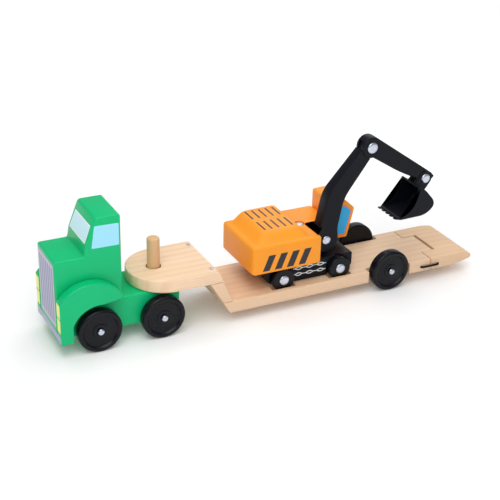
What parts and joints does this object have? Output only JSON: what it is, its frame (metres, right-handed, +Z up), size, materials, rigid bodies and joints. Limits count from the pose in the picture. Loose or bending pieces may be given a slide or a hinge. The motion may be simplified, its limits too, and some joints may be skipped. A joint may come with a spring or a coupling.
{
  "type": "toy tractor",
  "caption": "Painted wooden toy truck tractor with a pine low-loader trailer on a peg hitch, a hinged tail ramp and a slewing toy excavator as its load.",
  "frame": {"origin": "middle of the bounding box on the floor under the wheels", "axes": "+X forward to the tractor's nose, +Y to its left, +Z up"},
  "size_m": [0.4387, 0.0826, 0.1579],
  "materials": {
    "green_paint": "green gloss paint on wood",
    "pine": "clear sanded pine",
    "steel": "bright pressed steel",
    "black_wire": "black coated steel wire",
    "black_gloss": "glossy black",
    "orange_paint": "satin orange",
    "black_matte": "satin black"
  },
  "bodies": {
    "tractor": {"cab_and_hood": "green_paint", "chassis_beam": "green_paint", "left_fender": "green_paint", "right_fender": "green_paint"},
    "peg": {"hitch_peg": "pine"},
    "front_wheelset": {"front_axle": "steel", "front_left_wheel": "black_gloss", "front_right_wheel": "black_gloss", "front_left_cap": "steel", "front_right_cap": "steel"},
    "rear_wheelset": {"rear_axle": "steel", "rear_left_wheel": "black_gloss", "rear_right_wheel": "black_gloss", "rear_left_cap": "steel", "rear_right_cap": "steel"},
    "trailer_wheelset": {"trailer_axle": "steel", "trailer_left_wheel": "black_gloss", "trailer_right_wheel": "black_gloss", "trailer_left_cap": "steel", "trailer_right_cap": "steel"},
    "trailer": {"gooseneck_plate": "pine", "riser_board": "pine", "deck_board": "pine", "left_hinge_wire": "black_wire", "right_hinge_wire": "black_wire", "left_plate_nail": "steel", "right_plate_nail": "steel"},
    "ramp": {"rear_ramp": "pine"},
    "digger_base": {"undercarriage": "black_matte", "slew_screw": "steel"},
    "digger_front_wheelset": {"digger_front_axle": "steel", "digger_front_left_wheel": "black_gloss", "digger_front_right_wheel": "black_gloss", "digger_front_left_cap": "steel", "digger_front_right_cap": "steel"},
    "digger_rear_wheelset": {"digger_rear_axle": "steel", "digger_rear_left_wheel": "black_gloss", "digger_rear_right_wheel": "black_gloss", "digger_rear_left_cap": "steel", "digger_rear_right_cap": "steel"},
    "digger_house": {"engine_body": "orange_paint", "operator_cab": "orange_paint", "boom_pin": "steel"},
    "boom_arm": {"boom": "black_matte", "elbow_pin": "steel"},
    "stick_arm": {"stick": "black_matte", "bucket_pin": "steel"},
    "bucket_scoop": {"bucket": "black_matte"}
  },
  "joints": [
    {"name": "front_wheels_spin", "type": "hinge", "parent": "tractor", "child": "front_wheelset", "pos_m": [0.1825, 0, 0.021], "axis": [0, 1, 0], "continuous": true},
    {"name": "rear_wheels_spin", "type": "hinge", "parent": "tractor", "child": "rear_wheelset", "pos_m": [0.121, 0, 0.021], "axis": [0, 1, 0], "continuous": true},
    {"name": "articulation", "type": "hinge", "parent": "tractor", "child": "peg", "pos_m": [0.1175, 0, 0.0455], "axis": [0, 0, 1], "range_deg": [-80, 80]},
    {"name": "hitch_lift", "type": "slide", "parent": "peg", "child": "trailer", "axis": [0, 0, 1], "range_m": [0, 0.045]},
    {"name": "trailer_wheels_spin", "type": "hinge", "parent": "trailer", "child": "trailer_wheelset", "pos_m": [-0.1205, 0, 0.021], "axis": [0, 1, 0], "continuous": true},
    {"name": "ramp_hinge", "type": "hinge", "parent": "trailer", "child": "ramp", "pos_m": [-0.1784, 0, 0.0167], "axis": [0, -1, 0], "range_deg": [0, 21]},
    {"name": "digger_lift", "type": "slide", "parent": "trailer", "child": "digger_base", "axis": [0, 0, 1], "range_m": [0, 0.06]},
    {"name": "digger_front_spin", "type": "hinge", "parent": "digger_base", "child": "digger_front_wheelset", "pos_m": [-0.0665, 0, 0.0311], "axis": [0, 1, 0], "continuous": true},
    {"name": "digger_rear_spin", "type": "hinge", "parent": "digger_base", "child": "digger_rear_wheelset", "pos_m": [-0.0045, 0, 0.0311], "axis": [0, 1, 0], "continuous": true},
    {"name": "slew", "type": "hinge", "parent": "digger_base", "child": "digger_house", "pos_m": [-0.035, 0, 0.044], "axis": [0, 0, 1], "range_deg": [-120, 120]},
    {"name": "boom_pivot", "type": "hinge", "parent": "digger_house", "child": "boom_arm", "pos_m": [-0.0558, 0.0115, 0.0585], "axis": [0, 1, 0], "range_deg": [-10, 20]},
    {"name": "stick_pivot", "type": "hinge", "parent": "boom_arm", "child": "stick_arm", "pos_m": [-0.1016, 0.0115, 0.1474], "axis": [0, 1, 0], "range_deg": [-15, 28]},
    {"name": "bucket_pivot", "type": "hinge", "parent": "stick_arm", "child": "bucket_scoop", "pos_m": [-0.1661, 0.0115, 0.1054], "axis": [0, 1, 0], "range_deg": [0, 40]}
  ]
}
